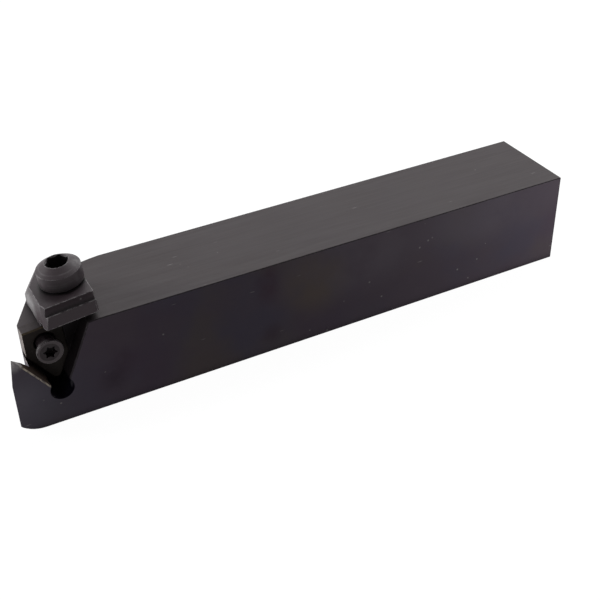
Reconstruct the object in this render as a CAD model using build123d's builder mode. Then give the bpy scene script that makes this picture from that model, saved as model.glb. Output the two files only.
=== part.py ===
"""Right-hand turning tool holder for a triangular insert that stands on edge.

Millimetres, +Z up.  The shank runs along X, with the cutting end towards -X, and the insert pocket
opens towards -Y.  The origin is the middle of the shank's base.
"""
from build123d import *
from math import cos, radians, sin, sqrt, tan
import os

os.makedirs("parts", exist_ok=True)

# Shank
overall_length = 152.4
shank_width = 25.4
shank_height = 25.4
edge_break = 0.2
heel_radius = 8.0
heel_length = 5.8

# Insert that the pocket takes
inscribed_circle = 12.7
insert_thickness = 4.76
insert_tilt = 5.5
nose_overhang = 1.66

# Head
front_rake = 29.5
front_setback = 0.1
end_face_setback = 5.2
end_face_margin = 0.85
flank_angle = 33.0
head_top_start = 21.84
side_relief_start = 34.0
side_relief_radius = 36.0
side_relief_angle = 12.0
relief_radius = 2.8
relief_rise = 2.0
relief_depth = 9.5
pocket_edge_break = 0.3

# Horn that carries the insert's front edge
horn_blunt_angle = 48.0
horn_blunt_length = 3.2
horn_facet_height = 14.3
horn_facet_lean = 60.0
horn_facet_tilt = 14.0

# Seat
seat_thickness = 3.18
seat_inset = 1.0
seat_length = 9.05
seat_corner_radius = 1.0
seat_chamfer = 0.3
seat_gap = 0.15
seat_hole_radius = 2.6

# Lock screw
lock_head_radius = 3.05
lock_head_inset = 0.3
lock_head_height = 0.9
lock_taper_height = 1.3
lock_shank_radius = 2.1
lock_thread_depth = 5.0
lock_dish_depth = 0.1
lock_rim_width = 0.45
lock_rim_break = 0.12
lobe_count = 6
lobe_tip_radius = 1.65
lobe_valley_depth = 0.5
lobe_valley_radius = 0.75
lobe_turn = 49.7
lock_socket_depth = 1.8

# Clamp screw
clamp_screw_back = 4.15
clamp_screw_across = 8.83
clamp_shank_radius = 3.175
clamp_thread_depth = 14.0
clamp_head_radius = 5.12
clamp_head_height = 3.93
washer_face_radius = 4.3
washer_face_height = 0.45
bevel_height = 1.55
socket_mouth_radius = 2.75
socket_lead_in = 0.3
hex_across_flats = 4.76
hex_depth = 3.6

# Clamp
clamp_height = 7.0
clamp_left = 8.15
clamp_right = 4.7
clamp_back = 9.0
clamp_left_draft = 8.0
clamp_bevel_top = 2.25
clamp_bevel_foot = 9.9
clamp_back_corner = 2.0
clamp_back_corner_width = 1.35
clamp_front_corner = 0.4
clamp_underside_gap = 0.35
clamp_heel_length = 4.5
nose_clearance = 1.9
nose_corner_width = 0.65
nose_corner_length = 2.0
nose_face_height = 3.4
nose_step_depth = 1.0
nose_groove_depth = 0.8
nose_groove_drop = 0.6
nose_riser_hollow = 0.25

# Retaining ring
ring_height = 1.15
ring_thickness = 0.7
ring_outer_radius = 3.6
ring_groove_depth = 0.6
ring_gap_width = 2.6

# Fits
thread_clearance = 0.05
clamp_bore_clearance = 0.1
ring_clearance = 0.05
counterbore_clearance = 0.2
pocket_end_clearance = 0.1
end_chamfer = 0.6

# Datum faces and the insert's triangle in the side view
front_x = -overall_length / 2
back_x = overall_length / 2
near_y = -shank_width / 2
far_y = shank_width / 2
past_part = 2 * shank_height
insert_side = inscribed_circle * sqrt(3)
ledge_angle = 120 + insert_tilt
wall_angle = 60 + insert_tilt
axis_angle = (ledge_angle + wall_angle) / 2
tilt_slope = tan(radians(insert_tilt))


def along(start, angle, length):
    """Point in the side view at a length from start, with the angle counted from +X towards +Z."""
    return start + Vector(cos(radians(angle)), 0, sin(radians(angle))) * length


def side_view(*points):
    """Points in the side view as coordinates of a sketch that faces the near side."""
    return [(point.X, point.Z) for point in points]


nose = Vector(front_x - nose_overhang, 0, shank_height)
pocket_corner = along(nose, ledge_angle + 180, insert_side)
insert_centre = along(pocket_corner, axis_angle, insert_side / sqrt(3))
relief_centre = along(pocket_corner, axis_angle, relief_rise)
head_top_rear = Vector(front_x + head_top_start, 0, shank_height)
near_plane = Plane(origin=(0, near_y, 0), x_dir=(1, 0, 0), z_dir=(0, -1, 0))
seat_plane = near_plane.offset(-insert_thickness)
floor_plane = seat_plane.offset(-seat_thickness)


def head_top(x):
    """Point of the sloped head top above a place along X."""
    return Vector(x, 0, shank_height - (head_top_rear.X - x) * tilt_slope)


def meet(first, first_angle, second, second_angle):
    """Point of the side view where two lines meet, each given by a point and an angle."""
    first_way = along(Vector(), first_angle, 1)
    across = along(Vector(), second_angle + 90, 1)
    return first + first_way * ((second - first).dot(across) / first_way.dot(across))


def seat_outline(ledge_gap, gap):
    """Corners of the seat in the side view: lower corner, knee, rear top, front top, front foot.

    The gaps are its clearances to the ledge and to the other sides of the recess.
    """
    corner_angle = radians(ledge_angle - wall_angle)
    corner = along(pocket_corner, ledge_angle, gap / sin(corner_angle))
    corner = along(corner, wall_angle, ledge_gap / sin(corner_angle))
    front_top = head_top(end_face_x)
    rear_top = along(front_top, insert_tilt, seat_length - gap)
    knee = meet(corner, wall_angle, rear_top, insert_tilt + 90)
    front_foot = meet(corner, ledge_angle, front_top, 90)
    return corner, knee, rear_top, front_top, front_foot


horn_x = front_x + front_setback
end_face_x = front_x + end_face_setback
slope_way = along(Vector(), insert_tilt, 1)
clamp_way = along(Vector(), insert_tilt + 90, 1)

# Holder body: shank and head in one piece
with BuildPart() as holder_body:
    with BuildSketch(near_plane):
        with BuildLine():
            heel_centre = (front_x + heel_length, heel_radius)
            heel = CenterArc(heel_centre, heel_radius, 270, -60)
            Polyline(
                heel @ 0,
                (back_x, 0),
                (back_x, shank_height),
                *side_view(head_top_rear, head_top(nose.X)),
                (nose.X, (heel @ 1).Y),
                heel @ 1,
            )
        make_face()
    extrude(amount=-shank_width)
    long_edges = holder_body.edges().filter_by(Axis.X)
    back_edges = holder_body.faces().sort_by(Axis.X)[-1].edges()
    chamfer(long_edges + back_edges.filter_by(Axis.X, reverse=True), length=edge_break)

    # Front of the head in plan: horn flank, end face at the seat, then the raked front
    with BuildSketch(Plane.XY):
        with BuildLine():
            end_face_y = near_y + insert_thickness + seat_thickness + end_face_margin
            Polyline(
                (horn_x, near_y),
                (end_face_x, near_y + (end_face_x - horn_x) * tan(radians(flank_angle))),
                (end_face_x, end_face_y),
                (end_face_x + shank_width * tan(radians(front_rake)), end_face_y + shank_width),
                (front_x - shank_width, end_face_y + shank_width),
                (front_x - shank_width, near_y),
                close=True,
            )
        make_face()
    extrude(amount=past_part, mode=Mode.SUBTRACT)

    # Relief of the far side towards the front
    with BuildSketch(Plane.XY):
        with BuildLine():
            relief_start = (front_x + side_relief_start, far_y)
            bend = CenterArc(
                (relief_start[0], far_y - side_relief_radius), side_relief_radius, 90, side_relief_angle
            )
            taper_end = (
                (bend @ 1).X - side_relief_start,
                (bend @ 1).Y - side_relief_start * tan(radians(side_relief_angle)),
            )
            Polyline(
                bend @ 1,
                taper_end,
                (taper_end[0], far_y + shank_width),
                (relief_start[0], far_y + shank_width),
                relief_start,
            )
        make_face()
    extrude(amount=past_part, mode=Mode.SUBTRACT)

    # Insert pocket, open to the near side, the front and the top
    with BuildSketch(near_plane):
        with BuildLine():
            Polyline(
                *side_view(
                    pocket_corner,
                    along(pocket_corner, ledge_angle, 2 * insert_side),
                    along(pocket_corner, wall_angle, 2 * insert_side),
                ),
                close=True,
            )
        make_face()
    extrude(amount=-insert_thickness, mode=Mode.SUBTRACT)

    # Recess behind the pocket for the seat
    with BuildSketch(seat_plane):
        with BuildLine():
            corner, knee, rear_top = seat_outline(0, 0)[:3]
            open_top = along(rear_top, insert_tilt + 90, past_part)
            open_front = along(corner, ledge_angle, 2 * insert_side)
            Polyline(*side_view(corner, knee, open_top, open_front), close=True)
        make_face()
    extrude(amount=-seat_thickness, mode=Mode.SUBTRACT)

    # Relief hole at the pocket's lower corner
    with BuildSketch(near_plane):
        with Locations((relief_centre.X, relief_centre.Z)):
            Circle(relief_radius)
    extrude(amount=-relief_depth, mode=Mode.SUBTRACT)

    # Broken edges along the ledge and the rear wall of the pocket
    near_edges = holder_body.edges().group_by(Axis.Y)[0]
    ledge_line = Axis(pocket_corner, along(Vector(), ledge_angle, 1))
    wall_line = Axis(pocket_corner, along(Vector(), wall_angle, 1))
    chamfer(near_edges.filter_by(ledge_line) + near_edges.filter_by(wall_line), length=pocket_edge_break)

    # Blunted tip of the horn, and the ground facet below it
    with BuildSketch(near_plane):
        with BuildLine():
            blunt_end = meet(pocket_corner, ledge_angle, Vector(front_x + horn_blunt_length, 0, 0), 90)
            blunt_start = along(blunt_end, 180 - horn_blunt_angle, past_part)
            Polyline(*side_view(blunt_end, blunt_start, blunt_end + Vector(0, 0, past_part)), close=True)
        make_face()
    extrude(amount=-insert_thickness, mode=Mode.SUBTRACT)
    facet_side = along(Vector(), horn_facet_lean + 90, sin(radians(horn_facet_tilt)))
    split(
        bisect_by=Plane(
            origin=(horn_x, near_y, horn_facet_height),
            z_dir=facet_side + Vector(0, -cos(radians(horn_facet_tilt)), 0),
        ),
        keep=Keep.BOTTOM,
    )

    # Bores for the two screws, at their thread's outer size
    with BuildSketch(floor_plane):
        with Locations((insert_centre.X, insert_centre.Z)):
            Circle(lock_shank_radius + thread_clearance)
    extrude(amount=-shank_width, mode=Mode.SUBTRACT)

    clamp_centre = along(head_top_rear, insert_tilt + 180, clamp_screw_back)
    clamp_centre = clamp_centre + Vector(0, near_y + clamp_screw_across, 0)
    clamp_plane = Plane(origin=clamp_centre, x_dir=slope_way, z_dir=clamp_way)
    with BuildSketch(clamp_plane):
        Circle(clamp_shank_radius + thread_clearance)
    extrude(amount=-(clamp_thread_depth + end_chamfer), mode=Mode.SUBTRACT)

# Seat: triangular shim on the recess floor, flush with the head top and the end face
with BuildPart() as seat:
    with BuildSketch(floor_plane):
        with BuildLine():
            corners = seat_outline(seat_inset, seat_gap)
            Polyline(*side_view(*corners), close=True)
        make_face()
        fillet(vertices().sort_by(Axis.Y)[0], seat_corner_radius)
        with Locations((insert_centre.X, insert_centre.Z)):
            Circle(seat_hole_radius, mode=Mode.SUBTRACT)
    extrude(amount=seat_thickness)
    near_face = seat.faces().sort_by(Axis.Y)[0]
    chamfer(near_face.outer_wire().edges().sort_by(Axis.Z)[-1], length=seat_chamfer)

# Lock screw: round head on a taper, six-lobe socket, threaded shank
lock_top = insert_thickness - lock_head_inset
lock_foot = -(seat_thickness + lock_thread_depth)
lock_origin = Vector(insert_centre.X, near_y + insert_thickness, insert_centre.Z)
with BuildPart() as lock_screw:
    with BuildSketch(Plane(origin=lock_origin, x_dir=(1, 0, 0), z_dir=(0, 0, -1))):
        with BuildLine():
            rim_inner = lock_head_radius - lock_rim_width
            Polyline(
                (0, lock_top - lock_dish_depth),
                (0, lock_foot),
                (lock_shank_radius - end_chamfer, lock_foot),
                (lock_shank_radius, lock_foot + end_chamfer),
                (lock_shank_radius, lock_top - lock_head_height - lock_taper_height),
                (lock_head_radius, lock_top - lock_head_height),
                (lock_head_radius, lock_top - lock_rim_break),
                (lock_head_radius - lock_rim_break, lock_top),
                (rim_inner, lock_top),
            )
            TangentArc(
                (0, lock_top - lock_dish_depth), (rim_inner, lock_top), tangent=(1, 0)
            )
        make_face()
    revolve(axis=Axis(lock_origin, (0, -1, 0)))
    with BuildSketch(Plane(origin=lock_origin, x_dir=(1, 0, 0), z_dir=(0, -1, 0)).offset(lock_top)):
        Circle(lobe_tip_radius)
        valley_circle_radius = lobe_tip_radius - lobe_valley_depth + lobe_valley_radius
        with PolarLocations(valley_circle_radius, lobe_count, start_angle=lobe_turn + 180 / lobe_count):
            Circle(lobe_valley_radius, mode=Mode.SUBTRACT)
    extrude(amount=-(lock_socket_depth + lock_dish_depth), mode=Mode.SUBTRACT)

# Clamp, drawn in the frame of its screw: across the head top along u, away from the near side along v
nose_v = -clamp_screw_across
nose_end_v = nose_v + insert_thickness + pocket_end_clearance


def in_clamp(u, v, w):
    """Point of the clamp's frame, with w the height over the head top, as a point of the part."""
    return clamp_plane.from_local_coords(Vector(u, v, w))


def plane_through(first, second, third):
    """Plane through three points, with its normal by the right-hand rule."""
    return Plane(origin=first, x_dir=second - first, z_dir=(second - first).cross(third - first))


clamp_side_plane = Plane(origin=clamp_centre, x_dir=(0, 1, 0), z_dir=slope_way)
left_top = clamp_left - clamp_height * tan(radians(clamp_left_draft))
with BuildPart() as clamp:
    with BuildSketch(clamp_plane):
        with BuildLine():
            Polyline(
                (-clamp_left, nose_v),
                (clamp_right - clamp_front_corner, nose_v),
                (clamp_right, nose_v + clamp_front_corner),
                (clamp_right, clamp_back - clamp_back_corner),
                (clamp_right - clamp_back_corner, clamp_back),
                (-clamp_left + clamp_back_corner_width, clamp_back),
                (-clamp_left, clamp_back - clamp_back_corner),
                close=True,
            )
        make_face()
    extrude(amount=clamp_height)
    # Drafted left side
    split(
        bisect_by=plane_through(
            in_clamp(-clamp_left, 0, 0), in_clamp(-clamp_left, 1, 0), in_clamp(-left_top, 0, clamp_height)
        ),
        keep=Keep.TOP,
    )
    # Bevel of the rear left corner, parallel to the raked front in plan
    bevel_u = sin(radians(front_rake)) - left_top
    bevel_v = cos(radians(front_rake)) + clamp_bevel_top
    split(
        bisect_by=plane_through(
            in_clamp(-left_top, clamp_bevel_top, clamp_height),
            in_clamp(bevel_u, bevel_v, clamp_height),
            in_clamp(-clamp_left, clamp_bevel_foot, 0),
        ),
        keep=Keep.BOTTOM,
    )
    # Slanted front left corner of the nose
    split(
        bisect_by=plane_through(
            in_clamp(-clamp_left + nose_corner_width, nose_v, nose_clearance),
            in_clamp(-clamp_left, nose_v + nose_corner_length, nose_clearance),
            in_clamp(-left_top + nose_corner_width, nose_v + nose_step_depth, clamp_height),
        ),
        keep=Keep.TOP,
    )
    # Undercut of the nose over the insert, and of the underside between nose and heel
    with BuildSketch(clamp_side_plane):
        with Locations((nose_v, 0)):
            Rectangle(nose_end_v - nose_v, nose_clearance, align=(Align.MIN, Align.MIN))
        with Locations((nose_v, 0)):
            Rectangle(
                clamp_back - clamp_heel_length - nose_v, clamp_underside_gap, align=(Align.MIN, Align.MIN)
            )
    extrude(amount=2 * clamp_left, both=True, mode=Mode.SUBTRACT)
    # Grooved step along the front of the nose, with a hollow riser
    with BuildSketch(clamp_side_plane):
        with BuildLine():
            lip = (nose_v, nose_clearance + nose_face_height)
            groove = (lip[0] + nose_groove_depth, lip[1] - nose_groove_drop)
            riser_top = (nose_v + nose_step_depth, clamp_height)
            riser_middle = (riser_top[0] + nose_riser_hollow, (groove[1] + clamp_height) / 2)
            Line(lip, groove)
            ThreePointArc(groove, riser_middle, riser_top)
            Polyline(
                riser_top,
                (riser_top[0], clamp_height + nose_clearance),
                (nose_v - nose_step_depth, clamp_height + nose_clearance),
                (nose_v - nose_step_depth, lip[1]),
                lip,
            )
        make_face()
    extrude(amount=2 * clamp_left, both=True, mode=Mode.SUBTRACT)
    # Bore for the screw, and counterbore for its retaining ring
    with BuildSketch(clamp_plane):
        Circle(clamp_shank_radius + clamp_bore_clearance)
    extrude(amount=clamp_height, mode=Mode.SUBTRACT)
    with BuildSketch(clamp_plane):
        Circle(ring_outer_radius + counterbore_clearance)
    extrude(amount=ring_height + ring_thickness + clamp_bore_clearance, mode=Mode.SUBTRACT)

# Clamp screw: socket head cap screw with a broad bevel round its hex socket
groove_low = ring_height - ring_clearance
groove_high = ring_height + ring_thickness + ring_clearance
groove_radius = clamp_shank_radius - ring_groove_depth
head_low = clamp_height + washer_face_height
head_rim = clamp_height + clamp_head_height
head_top_w = head_rim + bevel_height
screw_axis = Axis(clamp_centre, clamp_way)
with BuildPart() as clamp_screw:
    with BuildSketch(Plane(origin=clamp_centre, x_dir=slope_way, z_dir=(0, -1, 0))):
        with BuildLine():
            Polyline(
                (0, -clamp_thread_depth),
                (clamp_shank_radius - end_chamfer, -clamp_thread_depth),
                (clamp_shank_radius, end_chamfer - clamp_thread_depth),
                (clamp_shank_radius, groove_low),
                (groove_radius, groove_low),
                (groove_radius, groove_high),
                (clamp_shank_radius, groove_high),
                (clamp_shank_radius, clamp_height),
                (washer_face_radius, clamp_height),
                (washer_face_radius, head_low),
                (clamp_head_radius, head_low),
                (clamp_head_radius, head_rim),
                (socket_mouth_radius, head_top_w),
                (socket_mouth_radius - socket_lead_in, head_top_w - socket_lead_in),
                (0, head_top_w - socket_lead_in),
                close=True,
            )
        make_face()
    revolve(axis=screw_axis)
    with BuildSketch(clamp_plane.offset(head_top_w)):
        RegularPolygon(hex_across_flats / 2, side_count=6, major_radius=False)
    extrude(amount=-hex_depth, mode=Mode.SUBTRACT)

# Retaining ring in the screw's groove
with BuildPart() as retaining_ring:
    with BuildSketch(clamp_plane.offset(ring_height)):
        Circle(ring_outer_radius)
        Circle(groove_radius + ring_clearance, mode=Mode.SUBTRACT)
        Rectangle(2 * ring_outer_radius, ring_gap_width, align=(Align.MIN, Align.CENTER), mode=Mode.SUBTRACT)
    extrude(amount=ring_thickness)

holder_body.part.label = "holder_body"
seat.part.label = "seat"
lock_screw.part.label = "lock_screw"
clamp.part.label = "clamp"
clamp_screw.part.label = "clamp_screw"
retaining_ring.part.label = "retaining_ring"

export_step(holder_body.part, "parts/holder_body.step")
export_step(seat.part, "parts/seat.step")
export_step(lock_screw.part, "parts/lock_screw.step")
export_step(clamp.part, "parts/clamp.step")
export_step(clamp_screw.part, "parts/clamp_screw.step")
export_step(retaining_ring.part, "parts/retaining_ring.step")
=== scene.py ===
"""Dress the turning tool holder in its finishes, and set up its studio and camera.

Metres, +Z up.  The shank runs along X, with the cutting end towards -X, and the insert pocket opens
towards -Y.
"""
import logging
from dataclasses import dataclass, field, replace
from enum import Enum
from math import cos, radians, sin

import bpy
from mathutils import Matrix, Vector


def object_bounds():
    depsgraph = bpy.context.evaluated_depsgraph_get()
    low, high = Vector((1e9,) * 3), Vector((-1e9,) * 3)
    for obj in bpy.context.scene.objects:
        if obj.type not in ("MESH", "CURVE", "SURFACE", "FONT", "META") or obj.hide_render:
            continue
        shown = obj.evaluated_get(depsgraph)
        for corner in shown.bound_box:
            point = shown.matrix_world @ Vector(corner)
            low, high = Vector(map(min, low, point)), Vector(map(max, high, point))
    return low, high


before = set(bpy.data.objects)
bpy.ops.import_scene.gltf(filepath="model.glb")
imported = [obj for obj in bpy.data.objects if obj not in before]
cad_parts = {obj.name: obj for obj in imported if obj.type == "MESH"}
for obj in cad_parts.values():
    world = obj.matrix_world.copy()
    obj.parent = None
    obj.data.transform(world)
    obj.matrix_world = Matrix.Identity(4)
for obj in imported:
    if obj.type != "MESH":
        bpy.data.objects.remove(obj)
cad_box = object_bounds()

log = logging.getLogger("turning_tool_holder")

Colour = tuple[float, float, float]
Point = tuple[float, float, float]
Socket = bpy.types.NodeSocket

WHITE = (1.0, 1.0, 1.0, 1.0)

NEAR_SIDE = cad_box[0][1]
UPRIGHT = 90.0
INSERT_TILT = 5.5
INSERT_CORNER = 60.0
HORN_BLUNT_ANGLE = 48.0


class Grain(Enum):
    """Direction in which a surface was ground or turned, as stretch factors of its fine streaks."""

    ALONG_SHANK = (0.02, 1.0, 1.0)
    EVEN = (1.0, 1.0, 1.0)


@dataclass(frozen=True)
class Blots:
    """Noise with a smooth step, which says where blots of another tone lie."""

    scale: float
    detail: float
    low: float
    high: float


class Graph:
    """Shader nodes of one material or of the surroundings, added one by one."""

    MIX_FACTOR = 0
    MIX_FIRST = 6
    MIX_SECOND = 7
    MIX_RESULT = 2

    def __init__(self, owner: bpy.types.Material | bpy.types.World) -> None:
        """Start with no node.

        Args:
            owner: the material or world that the nodes belong to.
        """
        owner.use_nodes = True
        self.owner = owner
        self.tree = owner.node_tree
        self.tree.nodes.clear()

    def feed(self, node: bpy.types.Node, key: str | int, value: object) -> None:
        """Set or link one input of a node.

        Args:
            node: the node.
            key: name or place of its socket.
            value: the value, or the socket that feeds it.
        """
        if isinstance(value, Socket):
            self.tree.links.new(value, node.inputs[key])
        else:
            node.inputs[key].default_value = value

    def add(self, kind: str, inputs: dict | None = None, **settings: object) -> bpy.types.Node:
        """Add a node.

        Args:
            kind: type of the node, without its ShaderNode prefix.
            inputs: socket names or places, each with a value or with the socket that feeds it.
            settings: attributes of the node.

        Returns:
            The new node.
        """
        node = self.tree.nodes.new("ShaderNode" + kind)
        for key, value in settings.items():
            setattr(node, key, value)
        for key, value in (inputs or {}).items():
            self.feed(node, key, value)
        return node

    def math(self, operation: str, first: object, second: object) -> Socket:
        """Result of a math operation on two values or sockets.

        Args:
            operation: name of the operation.
            first: first value or socket.
            second: second value or socket.

        Returns:
            The socket of the result, held between 0 and 1.
        """
        return self.add("Math", {0: first, 1: second}, operation=operation, use_clamp=True).outputs[0]

    def product(self, *factors: object) -> Socket:
        """Product of several shares.

        Args:
            factors: two or more values or sockets.

        Returns:
            The socket of the product, held between 0 and 1.
        """
        result = factors[0]
        for factor in factors[1:]:
            result = self.math("MULTIPLY", result, factor)
        return result

    def vector(self, operation: str, first: object, second: Point = (0.0, 0.0, 0.0)) -> Socket:
        """Result of a vector operation.

        Args:
            operation: name of the operation.
            first: socket of a vector.
            second: vector or socket, where the operation takes two.

        Returns:
            The socket of the result, a number for a length or a dot product and otherwise a vector.
        """
        node = self.add("VectorMath", {0: first, 1: second}, operation=operation)
        return node.outputs["Value" if operation in ("DOT_PRODUCT", "LENGTH") else "Vector"]

    def span(self, value: object, low: float, high: float) -> Socket:
        """Smooth step of a value.

        Args:
            value: value or socket.
            low: value at which the result is 0.
            high: value at which the result is 1.

        Returns:
            The socket of the result.
        """
        inputs = {"Value": value, "From Min": low, "From Max": high}
        return self.add("MapRange", inputs, interpolation_type="SMOOTHSTEP").outputs[0]

    def between(self, share: Socket, low: float, high: float) -> Socket:
        """Value between two limits.

        Args:
            share: socket of a share from 0 to 1.
            low: value at share 0.
            high: value at share 1.

        Returns:
            The socket of the value.
        """
        return self.add("MapRange", {"Value": share, "To Min": low, "To Max": high}).outputs[0]

    def noise(self, place: Socket, scale: float, detail: float) -> Socket:
        """Noise between 0 and 1.

        Args:
            place: socket of the place in space.
            scale: size of the pattern, per metre.
            detail: number of finer octaves.

        Returns:
            The socket of the result.
        """
        return self.add("TexNoise", {"Vector": place, "Scale": scale, "Detail": detail}).outputs[0]

    def blots(self, place: Socket, blots: Blots) -> Socket:
        """Share of a pattern of blots.

        Args:
            place: socket of the place in space.
            blots: the pattern.

        Returns:
            The socket of the share.
        """
        return self.span(self.noise(place, blots.scale, blots.detail), blots.low, blots.high)

    def mix(self, factor: object, first: object, second: object) -> Socket:
        """Mix of two colours.

        Args:
            factor: share of the second colour.
            first: first colour or socket.
            second: second colour or socket.

        Returns:
            The socket of the mixed colour.
        """
        node = self.add("Mix", data_type="RGBA")
        self.feed(node, self.MIX_FACTOR, factor)
        for key, colour in ((self.MIX_FIRST, first), (self.MIX_SECOND, second)):
            self.feed(node, key, colour if isinstance(colour, Socket) else (*colour, 1.0))
        return node.outputs[self.MIX_RESULT]


@dataclass(frozen=True)
class FaceTone:
    """Another tone on the faces that look one way."""

    way: Point
    colour: Colour
    share: float = 1.0
    spread: float = 0.03
    broken: float = 0.0
    start_y: float = -1.0


@dataclass(frozen=True)
class Patch:
    """Another tone in a round patch with a soft, uneven rim."""

    centre: Point
    reach: float
    colour: Colour
    share: float = 1.0
    stretch: Point = (1.0, 1.0, 1.0)
    rim: float = 1.0
    broken: float = 0.5
    end_y: float = 1.0


MOTTLE = Blots(70.0, 4.0, 0.35, 0.65)
HUE_BLOTS = Blots(42.0, 3.0, 0.48, 0.68)
HUE_SHARE = 0.6
HUE_STEP = 0.31
HUE_SHIFT = 0.17

GRIND_STREAKS = Blots(3800.0, 3.0, 0.25, 0.75)
STREAK_SHARE = 0.5
LIGHT_STREAK = 2.5
DARK_STREAK = -2.0

GRIT_SCALE = 5200.0
GRIT_DETAIL = 3.0
BUMP_HEIGHT = 0.00004
HEIGHT_SHARE = 0.5

EDGE_SAMPLES = 6
FLAT_ALIKE = 0.995
ROUND_ALIKE = 0.86
WEAR_AND_HIGHLIGHT_BREAKS = Blots(900.0, 3.0, 0.3, 0.62)

TURNED_RINGS = Blots(1500.0, 3.0, 0.5, 0.75)
RING_BREAKS = Blots(420.0, 2.0, 0.35, 0.65)
RING_SHARE = 0.16

SPECKS_PER_METRE = 800.0
SPECK_CROWDS = Blots(60.0, 2.0, 0.45, 0.72)
SPECK_RIM = (0.3, 0.1)
SPECK_DEPTH = 0.8

SCRATCHES_PER_METRE = (260.0, 1500.0, 1500.0)
SCRATCH_TURNS = ((0.0, 0.5, 0.4), (0.0, -0.9, -0.6))
SCRATCH_RIM = (0.26, 0.08)
SCRATCH_DEPTH = 0.55

# Painted shade in corners and recesses, from ambient occlusion
CORNER_SHADE_SAMPLES = 8
CORNER_SHADE_FADE = 0.55
CORNER_SHADE_SCALE = 500.0
CORNER_SHADE_DETAIL = 3.0
CORNER_SHADE_UNEVEN = (0.75, 1.15)

TONE_BREAKS = Blots(1100.0, 3.0, 0.35, 0.6)
PATCH_BREAKS_PER_REACH = Blots(1.6, 4.0, 0.3, 0.6)


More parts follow.
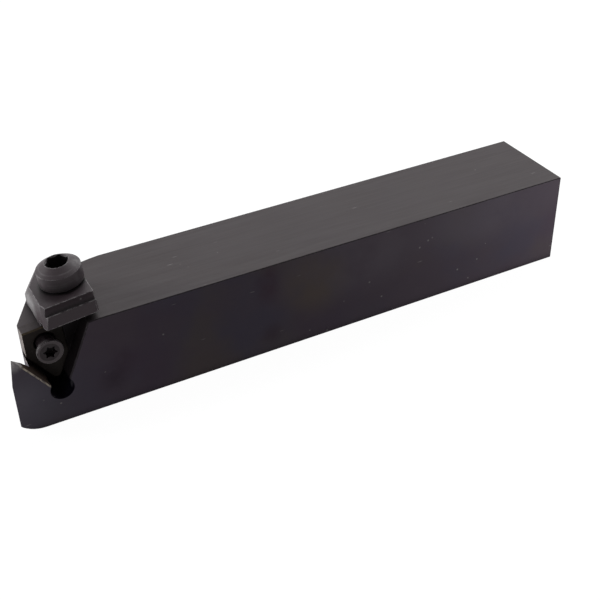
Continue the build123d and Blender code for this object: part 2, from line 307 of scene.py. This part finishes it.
@dataclass(frozen=True)
class SteelFinish:
    """Oxide-black steel with mottling, fine grain, specks, worn edges with painted highlights, and painted
    shade in its corners.
    """

    name: str
    colour: Colour
    second_colour: Colour
    edge_colour: Colour
    edge_width: float = 0.0002
    edge_wear_and_highlight: float = 0.5
    speck_colour: Colour = (0.21, 0.2, 0.2)
    speck_share: float = 0.06
    scratch_share: float = 0.008
    # Painted shade in corners and recesses: its colour, reach, share and start
    corner_shade_colour: Colour = (0.004, 0.003, 0.0035)
    corner_shade_reach: float = 0.004
    corner_shade_share: float = 0.9
    corner_shade_start: float = 0.85
    roughness: float = 0.48
    roughness_spread: float = 0.1
    metallic: float = 0.0
    specular: float = 0.06
    grain: Grain = Grain.ALONG_SHANK
    grain_strength: float = 0.05
    bump: float = 0.12
    hues: tuple[Colour, ...] = ()
    turned_about: Point | None = None
    turned_along: Point = (0.0, 0.0, 1.0)
    tones: tuple[FaceTone, ...] = ()
    patches: tuple[Patch, ...] = ()
    late_patches: tuple[Patch, ...] = ()

    def material(self) -> bpy.types.Material:
        """Build the finish.

        Returns:
            The new material.
        """
        graph = Graph(bpy.data.materials.new(self.name))
        place = graph.add("TexCoord").outputs["Object"]
        worn_and_highlit, rounded = self.edges(graph, place)
        grain = self.streaks(graph, place)
        colour = self.ground(graph, place, grain)
        for patch in self.patches:
            colour = graph.mix(self.patch_share(graph, place, patch), colour, patch.colour)
        for tone in self.tones:
            colour = graph.mix(self.tone_share(graph, place, tone), colour, tone.colour)
        if self.turned_about is not None:
            colour = graph.mix(self.turning(graph, place), colour, self.edge_colour)
        # Worn edges, lightened partly as painted highlight
        colour = graph.mix(worn_and_highlit, colour, self.edge_colour)
        for patch in self.late_patches:
            colour = graph.mix(self.patch_share(graph, place, patch), colour, patch.colour)
        colour = graph.mix(self.specks(graph, place), colour, self.speck_colour)
        # Painted shade in corners and recesses
        colour = graph.mix(self.painted_corner_shade(graph, place), colour, self.corner_shade_colour)
        spread = self.roughness_spread
        shader = graph.add(
            "BsdfPrincipled",
            {
                "Base Color": colour,
                "Metallic": self.metallic,
                "Roughness": graph.between(grain, self.roughness - spread, self.roughness + spread),
                "Specular IOR Level": self.specular,
                "Normal": self.relief(graph, place, grain, rounded),
            },
        )
        graph.add("OutputMaterial", {"Surface": shader.outputs[0]})
        return graph.owner

    def ground(self, graph: Graph, place: Socket, grain: Socket) -> Socket:
        """Mottled colour of the oxide, with its grinding streaks and its faint hues.

        Args:
            graph: the material's nodes.
            place: socket of the place in space.
            grain: socket of the streaks.

        Returns:
            The socket of the colour.
        """
        mottled = graph.mix(graph.blots(place, MOTTLE), self.colour, self.second_colour)
        streaked = graph.mix(grain, self.shade(DARK_STREAK), self.shade(LIGHT_STREAK))
        colour = graph.mix(STREAK_SHARE, mottled, streaked)
        for number, hue in enumerate(self.hues):
            moved = graph.vector("ADD", place, (HUE_STEP * number, HUE_SHIFT, 0.0))
            colour = graph.mix(graph.product(graph.blots(moved, HUE_BLOTS), HUE_SHARE), colour, hue)
        return colour

    def shade(self, change: float) -> Colour:
        """Lighter or darker tone of the colour.

        Args:
            change: change of the tone, in steps of the grain's strength.

        Returns:
            The tone.
        """
        return tuple(min(1.0, value * (1 + change * self.grain_strength)) for value in self.colour)

    def relief(self, graph: Graph, place: Socket, grain: Socket, rounded: Socket) -> Socket:
        """Fine relief of grit and streaks.

        Args:
            graph: the material's nodes.
            place: socket of the place in space.
            grain: socket of the streaks.
            rounded: socket of the normal with its edges rounded.

        Returns:
            The socket of the normal.
        """
        grit = graph.noise(place, GRIT_SCALE, GRIT_DETAIL)
        height = graph.math("ADD", graph.product(grit, HEIGHT_SHARE), graph.product(grain, HEIGHT_SHARE))
        inputs = {"Strength": self.bump, "Distance": BUMP_HEIGHT, "Height": height, "Normal": rounded}
        return graph.add("Bump", inputs).outputs[0]

    def edges(self, graph: Graph, place: Socket) -> tuple[Socket, Socket]:
        """Find the edges, where the finish is rubbed off and a highlight is painted.

        Args:
            graph: the material's nodes.
            place: socket of the place in space.

        Returns:
            The socket of the wear and painted highlight, and the socket of the normal with its edges
            rounded.
        """
        rounded = graph.add("Bevel", {"Radius": self.edge_width}, samples=EDGE_SAMPLES).outputs[0]
        flat = graph.add("NewGeometry").outputs["Normal"]
        bend = graph.span(graph.vector("DOT_PRODUCT", rounded, flat), FLAT_ALIKE, ROUND_ALIKE)
        return graph.product(bend, graph.blots(place, WEAR_AND_HIGHLIGHT_BREAKS), self.edge_wear_and_highlight), rounded

    def streaks(self, graph: Graph, place: Socket) -> Socket:
        """Fine streaks of grinding.

        Args:
            graph: the material's nodes.
            place: socket of the place in space.

        Returns:
            The socket of the streaks, between 0 and 1.
        """
        mapped = graph.add("Mapping", {"Vector": place, "Scale": self.grain.value}, vector_type="POINT")
        return graph.blots(mapped.outputs[0], GRIND_STREAKS)

    def turning(self, graph: Graph, place: Socket) -> Socket:
        """Fine light rings round the axis of a turned piece.

        Args:
            graph: the material's nodes.
            place: socket of the place in space.

        Returns:
            The socket of the share of each ring.
        """
        way = tuple(Vector(self.turned_along).normalized())
        away = graph.vector("SUBTRACT", place, self.turned_about)
        along = graph.vector("DOT_PRODUCT", away, way)
        radius = graph.vector("LENGTH", graph.vector("CROSS_PRODUCT", away, way))
        profile = graph.add("CombineXYZ", {0: along, 1: radius}).outputs[0]
        return graph.product(graph.blots(profile, TURNED_RINGS), graph.blots(place, RING_BREAKS), RING_SHARE)

    def specks(self, graph: Graph, place: Socket) -> Socket:
        """Small light specks and nicks.

        Args:
            graph: the material's nodes.
            place: socket of the place in space.

        Returns:
            The socket of the share of each speck.
        """
        cells = graph.add("TexVoronoi", {"Vector": place, "Scale": SPECKS_PER_METRE})
        crowd = graph.blots(place, SPECK_CROWDS)
        draw = graph.add("SeparateColor", {"Color": cells.outputs["Color"]}).outputs[0]
        chosen = graph.math("LESS_THAN", draw, graph.product(crowd, self.speck_share))
        marks = graph.product(chosen, graph.span(cells.outputs["Distance"], *SPECK_RIM), SPECK_DEPTH)
        for turn in SCRATCH_TURNS:
            marks = graph.math("MAXIMUM", marks, self.scratches(graph, place, turn))
        return marks

    def scratches(self, graph: Graph, place: Socket, turn: Point) -> Socket:
        """Short hairline scratches.

        Args:
            graph: the material's nodes.
            place: socket of the place in space.
            turn: turn of the scratches, in radians about X, Y and Z.

        Returns:
            The socket of the share of each scratch.
        """
        inputs = {"Vector": place, "Rotation": turn, "Scale": SCRATCHES_PER_METRE}
        stretched = graph.add("Mapping", inputs, vector_type="POINT").outputs[0]
        cells = graph.add("TexVoronoi", {"Vector": stretched, "Scale": 1.0})
        draw = graph.add("SeparateColor", {"Color": cells.outputs["Color"]}).outputs[0]
        chosen = graph.math("LESS_THAN", draw, self.scratch_share)
        return graph.product(chosen, graph.span(cells.outputs["Distance"], *SCRATCH_RIM), SCRATCH_DEPTH)

    def painted_corner_shade(self, graph: Graph, place: Socket) -> Socket:
        """Painted shade in the corners and recesses, darker where ambient occlusion is stronger.

        Args:
            graph: the material's nodes.
            place: socket of the place in space.

        Returns:
            The socket of the share of painted shade.
        """
        reach = {"Distance": self.corner_shade_reach}
        openness = graph.add("AmbientOcclusion", reach, samples=CORNER_SHADE_SAMPLES).outputs["AO"]
        shaded = graph.span(openness, self.corner_shade_start, self.corner_shade_start - CORNER_SHADE_FADE)
        uneven = graph.between(graph.noise(place, CORNER_SHADE_SCALE, CORNER_SHADE_DETAIL), *CORNER_SHADE_UNEVEN)
        return graph.product(shaded, uneven, self.corner_shade_share)

    def patch_share(self, graph: Graph, place: Socket, patch: Patch) -> Socket:
        """Share of a patch's tone.

        Args:
            graph: the material's nodes.
            place: socket of the place in space.
            patch: the patch.

        Returns:
            The socket of the share.
        """
        away = graph.vector("SUBTRACT", place, patch.centre)
        length = graph.vector("LENGTH", graph.vector("MULTIPLY", away, patch.stretch))
        inside = graph.span(length, patch.reach, patch.reach * (1 - patch.rim))
        breaks = replace(PATCH_BREAKS_PER_REACH, scale=PATCH_BREAKS_PER_REACH.scale / patch.reach)
        depth = graph.add("SeparateXYZ", {0: place}).outputs["Y"]
        before_end = graph.math("LESS_THAN", depth, patch.end_y)
        kept = graph.between(graph.blots(place, breaks), 1 - patch.broken, 1.0)
        return graph.product(inside, before_end, kept, patch.share)

    def tone_share(self, graph: Graph, place: Socket, tone: FaceTone) -> Socket:
        """Share of a tone on the faces that look its way.

        Args:
            graph: the material's nodes.
            place: socket of the place in space.
            tone: the tone.

        Returns:
            The socket of the share.
        """
        normal = graph.add("TexCoord").outputs["Normal"]
        alike = graph.vector("DOT_PRODUCT", normal, tuple(Vector(tone.way).normalized()))
        facing = graph.span(alike, 1 - 2 * tone.spread, 1 - tone.spread)
        depth = graph.add("SeparateXYZ", {0: place}).outputs["Y"]
        after_start = graph.math("GREATER_THAN", depth, tone.start_y)
        kept = graph.between(graph.blots(place, TONE_BREAKS), 1 - tone.broken, 1.0)
        return graph.product(facing, after_start, kept, tone.share)


def raised(angle: float) -> Point:
    """Way of a face that looks along the shank, turned up from +X by an angle in degrees."""
    return (cos(radians(angle)), 0.0, sin(radians(angle)))


def edge_break(way: Point) -> Point:
    """Way of the break on the edge between a face and the near side."""
    return (way[0], -1.0, way[2])


def near(x: float, z: float) -> Point:
    """Place on the near side of the shank."""
    return (x, NEAR_SIDE, z)


NEAR_WAY = (0.0, -1.0, 0.0)
END_WAY = (-1.0, 0.0, 0.0)
TOP_WAY = (0.0, 0.0, 1.0)
HEAD_TOP_WAY = raised(UPRIGHT + INSERT_TILT)
LEDGE_WAY = raised(UPRIGHT + INSERT_TILT - INSERT_CORNER)
WALL_WAY = raised(UPRIGHT + INSERT_TILT + INSERT_CORNER)
BLUNT_WAY = raised(UPRIGHT - HORN_BLUNT_ANGLE)
ROUND_ALONG_Y = (1.0, 0.0, 1.0)
NEARLY_BLACK = (0.004, 0.003, 0.003)


@dataclass
class HolderBody:
    """Shank and head in one piece, with the seat of the insert."""

    body_finish: SteelFinish = SteelFinish(
        name="black_oxide_shank",
        colour=(0.0645, 0.051, 0.064),
        second_colour=(0.056, 0.0435, 0.0575),
        edge_colour=(0.17, 0.16, 0.165),
        edge_width=0.00014,
        edge_wear_and_highlight=0.45,
        grain_strength=0.02,
        bump=0.06,
        hues=((0.053, 0.048, 0.071), (0.072, 0.058, 0.054), (0.053, 0.037, 0.054)),
        tones=(
            # Top of the shank, painted shade on the walls and floor of the pocket, the ledge, and a painted
            # highlight on the ledge's near edge
            FaceTone(TOP_WAY, (0.061, 0.0532, 0.055), 0.92, 0.001),
            FaceTone(WALL_WAY, NEARLY_BLACK, 0.95),
            FaceTone(NEAR_WAY, NEARLY_BLACK, 0.94, start_y=-0.012),
            FaceTone(LEDGE_WAY, (0.07, 0.047, 0.03), 0.85, broken=0.4),
            FaceTone(edge_break(LEDGE_WAY), (0.62, 0.54, 0.43), 0.8, broken=0.8),
            # Top of the head, and a painted highlight on the blunt top of the horn
            FaceTone(HEAD_TOP_WAY, (0.082, 0.072, 0.074), 0.9, 0.001, 0.2),
            FaceTone(BLUNT_WAY, (0.42, 0.41, 0.41), 0.85, 0.002, 0.7),
            # Painted shade on the breaks of the long upper edge and of the edge of the pocket's rear wall
            FaceTone(edge_break(TOP_WAY), (0.012, 0.01, 0.011), 0.9, 0.02, 0.3),
            FaceTone(edge_break(WALL_WAY), (0.014, 0.011, 0.013), 0.9, 0.02, 0.3),
        ),
        patches=(
            # Bluish head, painted light on its front face and near corner, and a painted highlight on the
            # horn's tip
            Patch(near(-0.073, 0.008), 0.026, (0.06, 0.056, 0.072), 0.8, broken=0.4),
            Patch((-0.0711, -0.0015, 0.0205), 0.007, (0.2, 0.19, 0.19), 0.7, broken=0.4),
            Patch(near(-0.0757, 0.009), 0.011, (0.098, 0.088, 0.108), 0.8, broken=0.3),
            Patch(near(-0.0752, 0.0208), 0.0042, (0.46, 0.44, 0.44), 0.85, broken=0.9),
            # Dark stains behind the head
            Patch(near(-0.0527, 0.0078), 0.0058, (0.03, 0.021, 0.031), 0.7, broken=0.7),
            Patch(near(-0.0502, 0.0127), 0.005, (0.04, 0.026, 0.038), 0.5, broken=0.7),
            # Purple stains in the middle of the long side
            Patch(near(-0.0125, 0.0205), 0.0065, (0.043, 0.023, 0.034), 0.75, (1.3, 1.0, 0.8)),
            Patch(near(-0.0118, 0.0055), 0.0045, (0.038, 0.026, 0.036), 0.6),
            # Paler stretches of the long side
            Patch(near(0.012, 0.0205), 0.02, (0.092, 0.078, 0.093), 0.8, (0.75, 1.0, 1.4), 0.8),
            Patch(near(0.0005, 0.0165), 0.012, (0.088, 0.068, 0.057), 0.75, rim=0.8),
            Patch(near(0.05, 0.0215), 0.018, (0.085, 0.073, 0.089), 0.8, (0.6, 1.0, 1.4), 0.8),
        ),
        late_patches=(
            # Glint on the front edge of the recess
            Patch((-0.0712, -0.0062, 0.0157), 0.0016, (0.42, 0.36, 0.35), 0.9, broken=0.5),
            # Painted shade inside the relief hole, as deep as it goes
            Patch(
                (-0.065278, 0.0, 0.009483),
                0.0029,
                (0.001, 0.0005, 0.003),
                0.98,
                ROUND_ALONG_Y,
                rim=0.03,
                broken=0.02,
                end_y=-0.003,
            ),
            # Painted glint on the hole's rim, and painted shade on the inner end of the ledge
            Patch((-0.0626, -0.0108, 0.0089), 0.0012, (0.12, 0.12, 0.14), 0.8, broken=0.95),
            Patch((-0.0678, -0.0079, 0.0125), 0.0035, (0.017, 0.011, 0.007), 0.6),
        ),
    )
    seat_finish: SteelFinish = SteelFinish(
        name="dark_brown_seat",
        colour=(0.026, 0.022, 0.02),
        second_colour=(0.02, 0.016, 0.015),
        edge_colour=(0.1, 0.075, 0.05),
        edge_wear_and_highlight=0.4,
        grain=Grain.EVEN,
        roughness=0.6,
        corner_shade_reach=0.003,
        tones=(
            FaceTone(HEAD_TOP_WAY, (0.078, 0.068, 0.07), spread=0.001, broken=0.2),
            # Painted light on the seat's front end face, and a painted highlight on the break of its top
            # edge
            FaceTone(END_WAY, (0.34, 0.3, 0.285), 0.9, broken=0.5),
            FaceTone(edge_break(HEAD_TOP_WAY), (0.1, 0.076, 0.05), 0.7, broken=0.4),
        ),
    )

    def dress(self) -> None:
        """Give the body and the seat their finishes."""
        put_finish("holder_body", self.body_finish)
        put_finish("seat", self.seat_finish)


@dataclass
class LockScrew:
    """Round-headed screw in the middle of the pocket."""

    finish: SteelFinish = SteelFinish(
        name="grey_lock_screw",
        colour=(0.02, 0.014, 0.016),
        second_colour=(0.012, 0.008, 0.01),
        edge_colour=(0.42, 0.39, 0.4),
        edge_width=0.0002,
        edge_wear_and_highlight=0.9,
        specular=0.12,
        roughness=0.36,
        corner_shade_reach=0.0025,
        grain=Grain.EVEN,
        tones=(FaceTone(NEAR_WAY, (0.08, 0.067, 0.071), 0.95, 0.08),),
        late_patches=(
            # Painted shade in the dished middle of the head
            Patch(
                (-0.0665, -0.0124, 0.0202),
                0.00245,
                (0.016, 0.0115, 0.013),
                0.95,
                (1.0, 0.6, 1.0),
                rim=0.12,
                broken=0.2,
            ),
        ),
        turned_about=(-0.066303, 0.0, 0.020134),
        turned_along=(0.0, 1.0, 0.0),
    )

    def dress(self) -> None:
        """Give the screw its finish."""
        put_finish("lock_screw", self.finish)


@dataclass
class TopClamp:
    """Clamp with its screw and the screw's retaining ring."""

    clamp_finish: SteelFinish = SteelFinish(
        name="black_oxide_clamp",
        colour=(0.036, 0.0262, 0.0305),
        second_colour=(0.026, 0.0185, 0.0225),
        edge_colour=(0.42, 0.4, 0.41),
        edge_width=0.0004,
        edge_wear_and_highlight=0.9,
        specular=0.2,
        corner_shade_reach=0.006,
        patches=(
            # Painted reflection on the foot of the left side
            Patch((-0.0668, -0.0006, 0.0263), 0.0042, (0.25, 0.24, 0.245), 0.9, (1.0, 0.6, 1.0), 0.8, 0.5),
        ),
        late_patches=(
            # Painted shadow in a ring under the screw's head
            Patch((-0.05916, -0.00387, 0.0319), 0.0058, (0.003, 0.002, 0.002), 0.95, rim=0.1, broken=0.1),
        ),
        grain=Grain.EVEN,
    )
    screw_finish: SteelFinish = SteelFinish(
        name="black_oxide_screw",
        colour=(0.04, 0.03, 0.0345),
        second_colour=(0.031, 0.0225, 0.0275),
        edge_colour=(0.36, 0.34, 0.35),
        edge_width=0.0003,
        edge_wear_and_highlight=0.9,
        specular=0.22,
        corner_shade_reach=0.007,
        corner_shade_start=0.98,
        corner_shade_share=1.0,
        grain=Grain.EVEN,
        turned_about=(-0.058491, -0.00387, 0.025002),
        turned_along=HEAD_TOP_WAY,
        patches=(
            # Painted highlight on the rear of the socket's rim, and painted shade on the front of the head's
            # side
            Patch((-0.0552, -0.0058, 0.0366), 0.0024, (0.2, 0.19, 0.195), 0.8, broken=0.9),
            Patch((-0.0602, -0.0092, 0.0328), 0.0034, (0.01, 0.007, 0.008), 0.8, broken=0.1),
        ),
    )
    ring_finish: SteelFinish = SteelFinish(
        name="spring_steel_ring",
        colour=(0.12, 0.12, 0.125),
        second_colour=(0.1, 0.1, 0.1),
        edge_colour=(0.3, 0.3, 0.3),
        edge_width=0.0001,
        metallic=0.8,
        grain=Grain.EVEN,
    )

    def dress(self) -> None:
        """Give the clamp, its screw and the ring their finishes."""
        put_finish("clamp", self.clamp_finish)
        put_finish("clamp_screw", self.screw_finish)
        put_finish("retaining_ring", self.ring_finish)


def put_finish(node: str, finish: SteelFinish) -> None:
    """Put a finish on a node of the frame.

    Args:
        node: name of the node.
        finish: its finish.
    """
    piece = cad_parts[node]
    piece.data.materials.clear()
    piece.data.materials.append(finish.material())
    for polygon in piece.data.polygons:
        polygon.material_index = 0
    log.info("dressed %s in %s", node, finish.name)


@dataclass
class Softbox:
    """One rectangular lamp, whose power gives its level of light at its target."""

    name: str
    place: Point
    target: Point
    size: tuple[float, float]
    level: float
    watts_at_one_metre: float = 9.87

    def build(self) -> None:
        """Make the lamp."""
        way = Vector(self.target) - Vector(self.place)
        data = bpy.data.lights.new(self.name, "AREA")
        data.shape = "RECTANGLE"
        data.size, data.size_y = self.size
        data.energy = self.watts_at_one_metre * way.length_squared * self.level
        lamp = bpy.data.objects.new(self.name, data)
        bpy.context.scene.collection.objects.link(lamp)
        lamp.location = self.place
        lamp.visible_camera = False
        lamp.rotation_euler = way.to_track_quat("-Z", "Y").to_euler()


@dataclass
class Studio:
    """White table, white surroundings and soft lamps."""

    floor_size: float = 6.0
    floor_colour: Colour = (0.09, 0.09, 0.09)
    floor_glow: float = 0.97
    ambient: float = 0.1
    lamps: list[Softbox] = field(
        default_factory=lambda: [
            Softbox("lamp_over", (0.24, 0.36, 0.55), (0.01, 0.0, 0.02), (0.6, 0.5), 1.0),
            Softbox("lamp_left", (-0.5, 0.28, 0.14), (-0.07, 0.0, 0.02), (0.25, 0.25), 0.8),
            Softbox("lamp_end", (0.12, -0.075, 0.03), (0.055, -0.0127, 0.013), (0.05, 0.04), 0.72),
            Softbox("lamp_front", (-0.145, -0.09, 0.022), (-0.072, -0.0127, 0.01), (0.06, 0.05), 0.36),
        ]
    )

    def build(self) -> None:
        """Make the floor, the surroundings and the lamps."""
        self.build_floor()
        self.build_surroundings()
        for lamp in self.lamps:
            lamp.build()
        log.info("studio with %d lamps", len(self.lamps))

    def seen(self, graph: Graph) -> Socket:
        """Share of the white that the camera, metal and glass see.

        Args:
            graph: the nodes to add to.

        Returns:
            The socket, 1 for those rays and 0 for the rest.
        """
        path = graph.add("LightPath")
        straight = graph.math("ADD", path.outputs["Is Camera Ray"], path.outputs["Is Glossy Ray"])
        return graph.math("ADD", straight, path.outputs["Is Transmission Ray"])

    def build_floor(self) -> None:
        """Make the table."""
        half = self.floor_size / 2
        mesh = bpy.data.meshes.new("floor")
        outline = [(-half, -half, 0), (half, -half, 0), (half, half, 0), (-half, half, 0)]
        mesh.from_pydata(outline, [], [(0, 1, 2, 3)])
        floor = bpy.data.objects.new("floor", mesh)
        bpy.context.scene.collection.objects.link(floor)
        graph = Graph(bpy.data.materials.new("white_table"))
        matt = graph.add("BsdfDiffuse", {"Color": (*self.floor_colour, 1.0)})
        glow = graph.add(
            "Emission", {"Color": WHITE, "Strength": graph.product(self.seen(graph), self.floor_glow)}
        )
        both = graph.add("AddShader", {0: matt.outputs[0], 1: glow.outputs[0]})
        graph.add("OutputMaterial", {"Surface": both.outputs[0]})
        mesh.materials.append(graph.owner)

    def build_surroundings(self) -> None:
        """Make the white surroundings, dimmer for the light that they cast."""
        graph = Graph(bpy.data.worlds.new("white_surroundings"))
        level = graph.between(self.seen(graph), self.ambient, 1.0)
        back = graph.add("Background", {"Color": WHITE, "Strength": level})
        graph.add("OutputWorld", {"Surface": back.outputs[0]})
        bpy.context.scene.world = graph.owner


@dataclass
class PhotoCamera:
    """Camera at the photograph's place and angle."""

    place: Point = (-0.1030946, -0.2054540, 0.1649431)
    right: Point = (0.8825284, -0.4698532, -0.0195337)
    down: Point = (-0.2840082, -0.4994270, -0.8184815)
    ahead: Point = (0.3748105, 0.7278810, -0.5742007)
    lens: float = 64.09380
    sensor_width: float = 36.0
    nearest: float = 0.01
    farthest: float = 20.0

    def build(self) -> None:
        """Make the camera, and use it."""
        data = bpy.data.cameras.new("camera")
        data.sensor_width = self.sensor_width
        data.lens = self.lens
        data.clip_start = self.nearest
        data.clip_end = self.farthest
        camera = bpy.data.objects.new("camera", data)
        bpy.context.scene.collection.objects.link(camera)
        turn = Matrix((self.right, -Vector(self.down), -Vector(self.ahead))).transposed().to_4x4()
        camera.matrix_world = Matrix.Translation(self.place) @ turn
        bpy.context.scene.camera = camera
        log.info("camera with a %.1f mm lens", self.lens)


def main() -> None:
    """Dress the object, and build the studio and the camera."""
    logging.basicConfig(level=logging.INFO, format="%(message)s")
    bpy.context.scene.view_settings.view_transform = "Standard"
    HolderBody().dress()
    LockScrew().dress()
    TopClamp().dress()
    Studio().build()
    PhotoCamera().build()


if __name__ == "__main__":
    main()
